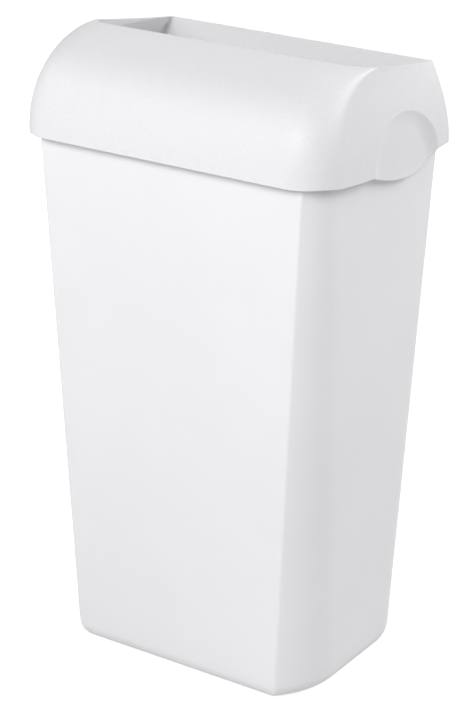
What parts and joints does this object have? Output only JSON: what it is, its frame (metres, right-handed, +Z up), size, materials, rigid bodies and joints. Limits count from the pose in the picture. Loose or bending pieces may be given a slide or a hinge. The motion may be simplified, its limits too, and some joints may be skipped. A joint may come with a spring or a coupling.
{
  "type": "open-top waste bin",
  "caption": "Tapered plastic waste bin with an overhanging lift-off hood that has an open slot and two finger grips, hung on a steel wall plate.",
  "frame": {"origin": "centre of the four foot pads, in the plane they stand on", "axes": "+Z up, -Y towards the front of the bin, +Y towards the wall, +X to the right of somebody facing the front"},
  "size_m": [0.3346, 0.233, 0.613],
  "materials": {
    "body_plastic": "smooth satin white moulded plastic, a faint sheen",
    "hood_plastic": "white moulded plastic with a fine matt grain",
    "ring_plastic": "light grey moulded plastic, plain matt",
    "zinc_steel": "zinc-plated sheet steel, dull",
    "pad_rubber": "plain black rubber, matt"
  },
  "bodies": {
    "bin": {"bin_body": "body_plastic", "foot_pad_front_left": "pad_rubber", "foot_pad_front_right": "pad_rubber", "foot_pad_rear_left": "pad_rubber", "foot_pad_rear_right": "pad_rubber", "wall_buffer_left": "pad_rubber", "wall_buffer_right": "pad_rubber"},
    "hood_group": {"hood": "hood_plastic"},
    "ring_group": {"bag_ring": "ring_plastic"},
    "plate_group": {"wall_plate": "zinc_steel"}
  },
  "joints": [
    {"name": "hood_lift", "type": "slide", "parent": "bin", "child": "hood_group", "axis": [0, 0, 1], "range_m": [0, 0.3]},
    {"name": "ring_lift", "type": "slide", "parent": "bin", "child": "ring_group", "axis": [0, 0, 1], "range_m": [0, 0.1]},
    {"name": "plate_unhook", "type": "slide", "parent": "bin", "child": "plate_group", "axis": [0, 0, -1], "range_m": [0, 0.014]}
  ],
  "couplings": [
    {"joint": "ring_lift", "follows": "hood_lift", "ratio": 0.33333}
  ]
}
